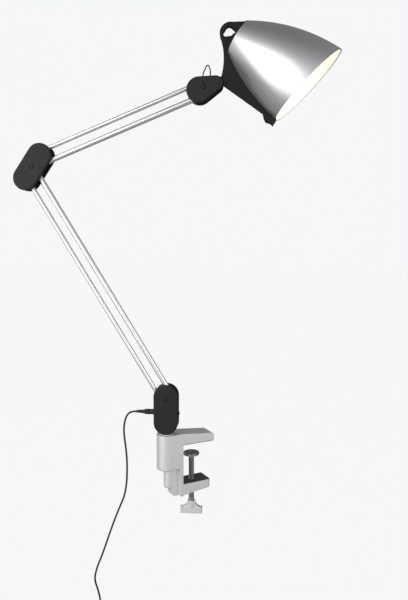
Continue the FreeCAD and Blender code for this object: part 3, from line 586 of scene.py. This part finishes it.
DRESS: dict[Finish, tuple[str, ...]] = {
    HOUSING: ("base_front_cover", "base_rear_cover", "base_frame", "elbow_front_cover", "elbow_rear_cover",
              "elbow_frame", "neck_front_cover", "neck_rear_cover"),
    SPINE_PLASTIC: ("shade_bracket",),
    GLOSS_PLASTIC: ("dc_jack", "switch_bezel", "switch_rocker"),
    ADAPTER_PLASTIC: ("wall_adapter",),
    NYLON: ("socket_bush", "base_washers", "elbow_washers", "neck_washers"),
    CAST_SILVER: ("clamp_body", "thumb_handle"),
    ZINC: ("pressure_plate", "swivel_post", "base_foot", "base_pins", "elbow_pins", "neck_pins", "clamp_screw"),
    BLACK_OXIDE: ("base_screws", "elbow_screws", "neck_screws", "bracket_screws", "rim_screw",
                  "base_cheeks", "elbow_cheeks", "neck_cheeks"),
    BRASS: ("adapter_blades",),
    RUBBER: ("jaw_pad", "lower_jaw_liner"),
    JACKET: ("head_lead", "lower_main_wire", "upper_main_wire", "dc_plug", "plug_strain_relief", "power_cord",
             "cord_coil", "cord_tie", "cord_tail"),
    LOWER_TUBE: ("lower_main_tube", "lower_link_tube", "lower_main_ends", "lower_link_ends"),
    UPPER_TUBE: ("upper_main_tube", "upper_link_tube", "upper_main_ends", "upper_link_ends", "heat_sink"),
    SHADE_SILVER: ("shade",),
    # Painted light: the reflector glows as if lit by the light module.
    ENAMEL_PAINTED_GLOW: ("shade_reflector", "led_board"),
    OPAL: ("led_diffuser",),
    BOARD: ("driver_board",),
}


def dress(piece: bpy.types.Object, finish: Finish) -> None:
    """Give a piece its finish in every material slot.

    Args:
        piece: the mesh or curve.
        finish: its finish.
    """
    if not piece.material_slots:
        piece.data.materials.append(finish.material())
    for one in piece.material_slots:
        one.material = finish.material()


# ---- modelling by operators ----
def alone() -> None:
    """Leave edit mode and deselect everything."""
    if bpy.context.object is not None and bpy.context.object.mode != "OBJECT":
        bpy.ops.object.mode_set(mode="OBJECT")
    bpy.ops.object.select_all(action="DESELECT")


def edit(piece: bpy.types.Object) -> None:
    """Open one piece in edit mode, with all of it selected.

    Args:
        piece: the mesh.
    """
    alone()
    bpy.context.view_layer.objects.active = piece
    piece.select_set(True)
    bpy.ops.object.mode_set(mode="EDIT")
    bpy.ops.mesh.select_mode(type="VERT")
    bpy.ops.mesh.select_all(action="SELECT")


def pick_faces(piece: bpy.types.Object, wanted: Callable[[bpy.types.MeshPolygon], bool]) -> None:
    """Select the faces that pass a test, and stay in edit mode.

    Args:
        piece: the mesh, in edit mode.
        wanted: the test of a face.
    """
    bpy.ops.mesh.select_all(action="DESELECT")
    bpy.ops.mesh.select_mode(type="FACE")
    bpy.ops.object.mode_set(mode="OBJECT")
    for face in piece.data.polygons:
        face.select = wanted(face)
    bpy.ops.object.mode_set(mode="EDIT")


def outward(piece: bpy.types.Object) -> None:
    """Merge doubles, turn the faces outwards and return to object mode.

    Args:
        piece: the mesh.
    """
    edit(piece)
    bpy.ops.mesh.remove_doubles(threshold=0.000001)
    bpy.ops.mesh.normals_make_consistent(inside=False)
    bpy.ops.object.mode_set(mode="OBJECT")


def settle(piece: bpy.types.Object, name: str, smooth_under: float = 32.0) -> None:
    """Name a piece, put its place into its mesh and smooth its gentle edges.

    Args:
        piece: the mesh.
        name: the piece's name.
        smooth_under: edges sharper than this many degrees stay sharp.
    """
    alone()
    bpy.context.view_layer.objects.active = piece
    piece.select_set(True)
    bpy.ops.object.transform_apply(location=True, rotation=True, scale=True)
    bpy.ops.object.shade_smooth_by_angle(angle=math.radians(smooth_under))
    piece.name = name
    piece.data.name = name


def profile_piece(points: Sequence[tuple[float, float]], centre: Vector, along: Along) -> bpy.types.Object:
    """Draw a profile by extruding one point after another.

    Args:
        points: pairs of distance along the axis and radius, in metres.
        centre: where both are zero.
        along: the axis.

    Returns:
        The open chain of edges.
    """
    side = Along.X.value if along is Along.Z else Along.Z.value
    places = [centre + along.value * far + side * radius for far, radius in points]
    alone()
    bpy.ops.mesh.primitive_plane_add(size=MM, location=(0.0, 0.0, 0.0))
    piece = bpy.context.object
    edit(piece)
    bpy.ops.mesh.merge(type="CENTER")
    bpy.ops.transform.translate(value=places[0])
    for before, after in zip(places, places[1:]):
        bpy.ops.mesh.extrude_vertices_move(TRANSFORM_OT_translate={"value": after - before})
    bpy.ops.object.mode_set(mode="OBJECT")
    return piece


def spun(points: Sequence[tuple[float, float]], centre: Vector, along: Along, steps: int = 48) -> bpy.types.Object:
    """Turn a profile about an axis, as on a lathe.

    Args:
        points: pairs of distance along the axis and radius, in metres.
        centre: where both are zero.
        along: the axis.
        steps: faces round the piece.

    Returns:
        The closed mesh.
    """
    piece = profile_piece(points, centre, along)
    edit(piece)
    bpy.ops.mesh.spin(steps=steps, angle=2 * math.pi, center=centre, axis=along.value)
    outward(piece)
    return piece


def ribs(start: float, end: float, high: float, low: float, count: int) -> list[tuple[float, float]]:
    """Profile of equal rounded ribs.

    Args:
        start: where the ribs begin, along the axis.
        end: where they end.
        high: radius on a rib.
        low: radius between two ribs.
        count: how many ribs.

    Returns:
        Pairs of distance along the axis and radius.
    """
    pitch = (end - start) / count
    shape = ((0.10, low), (0.26, high), (0.62, high), (0.78, low))
    return [(start + pitch * (i + share), radius) for i in range(count) for share, radius in shape]


# ---- pieces that take the place of plain solids ----
@dataclass(frozen=True)
class ClampScrew:
    """The clamp's screw: a plain core with a real thread round it.

    Attributes:
        radius: outside radius of the thread.
        root: radius between the threads.
        pitch: how far one turn advances.
        bottom: lowest end, in the thumb handle.
        top: where the thread ends under the pressure plate.
        neck_top: top of the narrow neck that turns in the plate.
    """

    radius: float = 4.8 * MM
    root: float = 3.95 * MM
    pitch: float = 1.5 * MM
    bottom: float = -118.5 * MM
    top: float = -27.9 * MM
    neck_top: float = -24.2 * MM

    def build(self) -> bpy.types.Object:
        """Model the screw and let it stand for its CAD node.

        Returns:
            The finished screw.
        """
        core = self.core()
        thread = self.thread()
        alone()
        bpy.context.view_layer.objects.active = core
        core.select_set(True)
        thread.select_set(True)
        bpy.ops.object.join()
        settle(core, "clamp_screw_threaded", 40.0)
        dress(core, ZINC)
        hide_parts("clamp_screw")
        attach(core, "screw")
        return core

    def core(self) -> bpy.types.Object:
        """Turn the core with its chamfered end, neck and ball end."""
        neck, ball = 2.6 * MM, 3.8 * MM
        points = [(self.bottom, 0.0), (self.bottom, self.root), (self.bottom + MM, self.radius),
                  (self.bottom + 12 * MM, self.radius), (self.bottom + 12.8 * MM, self.root),
                  (self.top - 0.6 * MM, self.root), (self.top, self.root - 0.6 * MM), (self.top, neck),
                  (self.neck_top - 1.5 * MM, neck), (self.neck_top - 1.2 * MM, ball - 0.3 * MM),
                  (self.neck_top - 0.9 * MM, ball), (self.neck_top - 0.3 * MM, ball),
                  (self.neck_top, ball - 0.4 * MM), (self.neck_top, 0.0)]
        return spun(points, Vector(), Along.Z, 40)

    def thread(self) -> bpy.types.Object:
        """Wind one turn's profile up the core with the Screw modifier."""
        low = self.bottom + 13 * MM
        inner = self.root - 0.15 * MM
        turn = [(low, inner), (low + 0.45 * self.pitch, self.radius), (low + 0.58 * self.pitch, self.radius),
                (low + self.pitch, inner)]
        piece = profile_piece(turn, Vector(), Along.Z)
        made = piece.modifiers.new("thread", "SCREW")
        made.screw_offset = self.pitch
        made.iterations = int((self.top - 2 * MM - low) / self.pitch)
        made.steps = made.render_steps = 28
        made.use_merge_vertices = True
        made.merge_threshold = 0.00001
        alone()
        bpy.context.view_layer.objects.active = piece
        piece.select_set(True)
        bpy.ops.object.modifier_apply(modifier=made.name)
        return piece


@dataclass(frozen=True)
class LeadPlug:
    """Barrel plug with a ribbed grip, and the tapered relief behind it.

    Attributes:
        face: where the plug meets the base housing.
        height: height of the plug's axis.
        grip: length of the grip.
        radius: radius of the grip.
        relief: length of the relief.
        relief_wide: relief's radius at the grip.
        relief_thin: relief's radius where the lead comes out.
    """

    face: float = -59.818 * MM
    height: float = 57.6 * MM
    grip: float = 17.0 * MM
    radius: float = 4.7 * MM
    relief: float = 14.2 * MM
    relief_wide: float = 3.4 * MM
    relief_thin: float = 2.4 * MM

    def build(self) -> list[bpy.types.Object]:
        """Model the plug and its relief.

        Returns:
            Both pieces.
        """
        start = Vector((self.face - self.grip, ARM_PLANE_Y, self.height))
        grip = [(0.0, 0.0), (0.0, self.radius - 1.3 * MM), (0.5 * MM, self.radius - 0.5 * MM),
                (1.4 * MM, self.radius)]
        grip += ribs(3.0 * MM, 12.2 * MM, self.radius, self.radius - 0.45 * MM, 6)
        grip += [(12.6 * MM, self.radius), (self.grip - 0.6 * MM, self.radius),
                 (self.grip - 0.1 * MM, self.radius - 0.5 * MM), (self.grip - 0.1 * MM, 2.7 * MM),
                 (self.grip + 8.2 * MM, 2.7 * MM), (self.grip + 8.5 * MM, 2.4 * MM), (self.grip + 8.5 * MM, 0.0)]
        plug = spun(grip, start, Along.X)
        settle(plug, "dc_plug_ribbed", 40.0)
        relief = spun(self.taper(), start - Along.X.value * self.relief, Along.X, 36)
        settle(relief, "plug_relief_ribbed", 40.0)
        for piece, node in ((plug, "dc_plug"), (relief, "plug_strain_relief")):
            dress(piece, JACKET)
            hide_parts(node)
            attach(piece, "base")
        return [plug, relief]

    def taper(self) -> list[tuple[float, float]]:
        """Return the relief's profile: rings on a cone, closed at both ends."""
        rings, groove = 6, 0.5 * MM
        points = [(0.0, 0.0), (0.0, self.relief_thin - 0.3 * MM), (0.3 * MM, self.relief_thin)]
        step = (self.relief - 1.6 * MM) / rings
        for i in range(rings):
            low = 0.9 * MM + i * step
            for share, cut in ((0.15, 0.0), (0.30, groove), (0.52, groove), (0.67, 0.0)):
                far = low + share * step
                wide = self.relief_thin + (self.relief_wide - self.relief_thin) * far / self.relief
                points.append((far, wide - cut))
        return points + [(self.relief, self.relief_wide), (self.relief, 0.0)]


@dataclass(frozen=True)
class Lead:
    """Low-voltage lead: it hangs from the plug, winds into a tied coil and ends in the wall adapter.

    Attributes:
        radius: radius of the lead.
        length: its whole real length; not used.
        coil_centre: centre of the coil, whose axis is +Y.
        coil_radius: radius to the middle of the bundle.
        turns: whole turns in the coil.
        spacing: distance between neighbouring turns.
        enter: degrees round the coil at which the lead joins it.
        leave: degrees at which it leaves.
        steps: points for each turn.
    """

    radius: float = 1.6 * MM
    length: float = 1.5
    coil_centre: tuple[float, float, float] = (-155.2 * MM, -25.8 * MM, -327.1 * MM)
    coil_radius: float = 18.4 * MM
    turns: int = 9
    spacing: float = 3.3 * MM
    enter: float = 150.0
    leave: float = 210.0
    steps: int = 20

    def hanging(self) -> list[Vector]:
        """Return the route from the plug down to the coil."""
        route = [(-91.0, -25.6, 57.6), (-99.0, -25.8, 57.3), (-106.5, -26.2, 52.5), (-111.5, -27.0, 40.0),
                 (-113.0, -28.0, 22.0), (-110.0, -28.6, 0.0), (-107.8, -28.2, -24.0), (-107.9, -27.4, -48.0),
                 (-109.2, -27.0, -70.0), (-113.0, -27.6, -92.0), (-121.8, -29.6, -112.0),
                 (-132.0, -31.0, -138.0), (-142.6, -31.6, -168.0), (-153.0, -31.0, -198.0),
                 (-164.6, -29.6, -226.0), (-168.2, -28.2, -246.0), (-162.6, -27.0, -264.0),
                 (-158.2, -26.2, -284.0), (-162.6, -25.8, -302.0)]
        return [Vector(place) * MM for place in route]

    def slots(self) -> list[tuple[float, float]]:
        """Return where the turns lie across the bundle: three, four and three, a diameter apart."""
        rise = self.spacing * math.sqrt(3) / 2
        rows = [(-rise, (-1.0, 0.0, 1.0)), (0.0, (1.5, 0.5, -0.5, -1.5)), (rise, (-1.0, 0.0, 1.0))]
        return [(out, across * self.spacing) for out, row in rows for across in row]

    def coil(self) -> list[Vector]:
        """Return the coil's points; each turn steps over to the next slot at a place of its own."""
        slots = self.slots()
        centre = Vector(self.coil_centre)
        total = 360.0 * self.turns + self.leave - self.enter
        count = int(total / 360.0 * self.steps)
        hop = 26.0
        points = []
        for i in range(count + 1):
            gone = total * i / count
            turn = min(int(gone // 360.0), self.turns - 1)
            hop_at = 80.0 + (self.turns - 1 - turn) * (hop + 1.5)
            share = min(max((gone - 360.0 * turn - hop_at) / hop, 0.0), 1.0)
            here, after = slots[turn], slots[turn + 1]
            out = here[0] + (after[0] - here[0]) * share
            across = here[1] + (after[1] - here[1]) * share
            angle = math.radians(self.enter + gone)
            reach = self.coil_radius + out
            points.append(centre + Vector((reach * math.cos(angle), across, reach * math.sin(angle))))
        return points

    def tail(self) -> list[Vector]:
        """Return the route from the coil into the adapter's relief."""
        route = [(-160.2, -24.0, -356.5), (-155.8, -25.4, -370.0), (-155.2, -25.8, -378.0), (-155.2, -25.8, -386.0)]
        return [Vector(place) * MM for place in route]

    def build(self, carried: list[bpy.types.Object]) -> bpy.types.Object:
        """Args:
            carried: the pieces on the lead, such as its plug; not used.

        Returns:
            The lead.
        """
        places = self.hanging() + self.coil() + self.tail()
        line = bpy.data.curves.new("power_lead", "CURVE")
        line.dimensions = "3D"
        line.bevel_depth = self.radius
        line.bevel_resolution = 5
        line.resolution_u = 6
        line.use_fill_caps = True
        spline = line.splines.new("NURBS")
        spline.points.add(len(places) - 1)
        for point, place in zip(spline.points, places):
            point.co = (*place, 1.0)
        spline.order_u = 3
        spline.use_endpoint_u = True
        lead = bpy.data.objects.new("power_lead", line)
        bpy.context.scene.collection.objects.link(lead)
        dress(lead, JACKET)
        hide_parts("power_cord", "cord_coil", "cord_tail")
        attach(lead, "base")
        return lead

    def tie(self) -> bpy.types.Object:
        """Wrap a flat band with a free tab round the coil's turns.

        Returns:
            The tie.
        """
        centre = Vector(self.coil_centre) + Along.X.value * self.coil_radius
        half, inner, outer = 3.6 * MM, 6.9 * MM, 7.7 * MM
        ring = [(-half, inner), (-half, outer - 0.2 * MM), (-half + 0.2 * MM, outer), (half - 0.2 * MM, outer),
                (half, outer - 0.2 * MM), (half, inner), (-half, inner)]
        piece = spun(ring, centre, Along.Z, 48)
        edit(piece)
        bpy.ops.transform.resize(value=(0.76, 1.0, 1.0), center_override=centre)
        pick_faces(piece, lambda face: face.center.y < centre.y - 7.2 * MM and abs(face.normal.z) < 0.2
                   and 0.0 < face.center.x - centre.x < 0.5 * MM)
        bpy.ops.mesh.extrude_region_move(TRANSFORM_OT_translate={"value": (4.0 * MM, -0.6 * MM, 0.0)})
        bpy.ops.object.mode_set(mode="OBJECT")
        settle(piece, "coil_tie_band")
        dress(piece, RUBBER)
        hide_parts("cord_tie")
        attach(piece, "base")
        return piece


# ---- stage ----
@dataclass(frozen=True)
class Studio:
    """Pale floor, soft lights and the camera.

    Attributes:
        floor_drop: how far the floor lies under the lamp's lowest point.
        floor_size: the floor's width.
        camera_place: where the camera stands.
        camera_down: degrees that it looks down.
        camera_turn: degrees that it is turned about +Z.
        lens: focal length in millimetres, for a 36 mm sensor on the long side.
        backdrop: how bright the room behind the lamp looks.
        floor_glow: how much of the floor's look is the backdrop's own brightness.
        band_light: light of the room level with the lamp.
        room_light: light of the room everywhere else.
    """

    floor_drop: float = 0.004
    floor_size: float = 60.0
    camera_place: tuple[float, float, float] = (107.8 * MM, -976.3 * MM, 329.7 * MM)
    camera_down: float = 4.85
    camera_turn: float = 5.0
    lens: float = 34.62
    backdrop: float = 0.94
    floor_glow: float = 0.985
    band_light: float = 0.62
    room_light: float = 0.13

    def build(self) -> None:
        """Make the floor, the surroundings, the lights and the camera."""
        self.floor()
        self.surroundings()
        self.light("key", (-1.15, -1.30, 0.62), (0.05, -0.03, 0.45), 2.0, 30.0, (1.0, 0.99, 0.97))
        self.light("fill", (1.5, -1.3, 0.5), (0.0, -0.03, 0.2), 1.2, 14.0, (0.96, 0.98, 1.0))
        self.light("rim", (-1.2, 1.4, 1.3), (0.0, -0.03, 0.35), 1.0, 7.0, (1.0, 1.0, 1.0))
        self.camera()

    def floor(self) -> None:
        """Lay a wide pale floor just under the lamp."""
        low = CAD_BOX[0]
        alone()
        bpy.ops.mesh.primitive_plane_add(size=self.floor_size, location=(0.0, 0.0, low.z - self.floor_drop))
        floor = bpy.context.object
        floor.name = "studio_floor"
        paint = bpy.data.materials.new("pale_floor")
        paint.use_nodes = True
        graph = Graph(paint.node_tree)
        shader = paint.node_tree.nodes["Principled BSDF"]
        shader.inputs["Base Color"].default_value = (0.42, 0.42, 0.42, 1.0)
        shader.inputs["Roughness"].default_value = 0.75
        bright = graph.node("Emission", in_Strength=self.backdrop)
        seen = graph.node("LightPath").outputs["Is Camera Ray"]
        share = graph.math("MULTIPLY", seen, self.floor_glow)
        both = graph.node("MixShader", in_0=share, in_1=shader.outputs[0], in_2=bright.outputs[0])
        paint.node_tree.links.new(both.outputs[0], paint.node_tree.nodes["Material Output"].inputs[0])
        floor.data.materials.append(paint)

    def surroundings(self) -> None:
        """Fill the room with soft light: bright round the lamp, darker above, below and behind it."""
        world = bpy.data.worlds.new("pale_room")
        world.use_nodes = True
        graph = Graph(world.node_tree)
        back = world.node_tree.nodes["Background"]
        way = graph.node("SeparateXYZ", in_Vector=graph.node("TexCoord").outputs["Generated"])
        front = graph.ramp(way.outputs["Y"], 0.85, 0.10)
        level_with_eye = graph.ramp(graph.math("ABSOLUTE", way.outputs["Z"], 0.0), 0.95, 0.30)
        band = graph.math("MULTIPLY", graph.math("MULTIPLY", front, level_with_eye), self.band_light)
        level = graph.math("ADD", band, self.room_light)
        seen = graph.node("LightPath").outputs["Is Camera Ray"]
        shown = graph.node("MapRange", in_Value=seen, in_To_Min=0.0, in_To_Max=self.backdrop).outputs[0]
        hidden = graph.math("MULTIPLY", level, graph.math("SUBTRACT", 1.0, seen))
        world.node_tree.links.new(graph.math("ADD", shown, hidden), back.inputs["Strength"])
        back.inputs["Color"].default_value = (0.98, 0.99, 1.0, 1.0)
        bpy.context.scene.world = world
        bpy.context.scene.view_settings.view_transform = "Standard"

    def light(self, name: str, place: tuple[float, float, float], target: tuple[float, float, float],
              size: float, power: float, colour: Colour) -> None:
        """Hang one soft square light.

        Args:
            name: the light's name.
            place: where it hangs.
            target: what it faces.
            size: its width.
            power: its power in watts.
            colour: its colour.
        """
        lamp = bpy.data.lights.new(name, "AREA")
        lamp.size, lamp.energy, lamp.color = size, power, colour
        holder = bpy.data.objects.new(name, lamp)
        holder.location = place
        holder.rotation_euler = (Vector(target) - Vector(place)).to_track_quat("-Z", "Y").to_euler()
        bpy.context.scene.collection.objects.link(holder)

    def camera(self) -> None:
        """Stand the camera in front of the lamp, a little above its middle."""
        eye = bpy.data.cameras.new("camera")
        eye.lens, eye.sensor_width = self.lens, 36.0
        eye.clip_start, eye.clip_end = 0.01, 100.0
        holder = bpy.data.objects.new("camera", eye)
        holder.location = self.camera_place
        holder.rotation_euler = (math.radians(90.0 - self.camera_down), 0.0, math.radians(self.camera_turn))
        bpy.context.scene.collection.objects.link(holder)
        bpy.context.scene.camera = holder


def dress_frame() -> None:
    """Give every CAD node its finish."""
    for finish, names in DRESS.items():
        for name in names:
            dress(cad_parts[name], finish)
        log.info("%s on %d nodes", finish.name, len(names))
    missed = set(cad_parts) - {name for names in DRESS.values() for name in names}
    if missed:
        raise ValueError(f"nodes without a finish: {sorted(missed)}")


def main() -> None:
    """Build the lamp's pieces in order, then the studio."""
    logging.basicConfig(level=logging.INFO, format="%(name)s: %(message)s")
    Studio().build()
    dress_frame()
    lead = Lead()
    carried = LeadPlug().build() + [lead.tie(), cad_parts["wall_adapter"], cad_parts["adapter_blades"]]
    for piece in (*carried, lead.build(carried), ClampScrew().build()):
        log.info("made %s", piece.name)


if __name__ == "__main__":
    main()
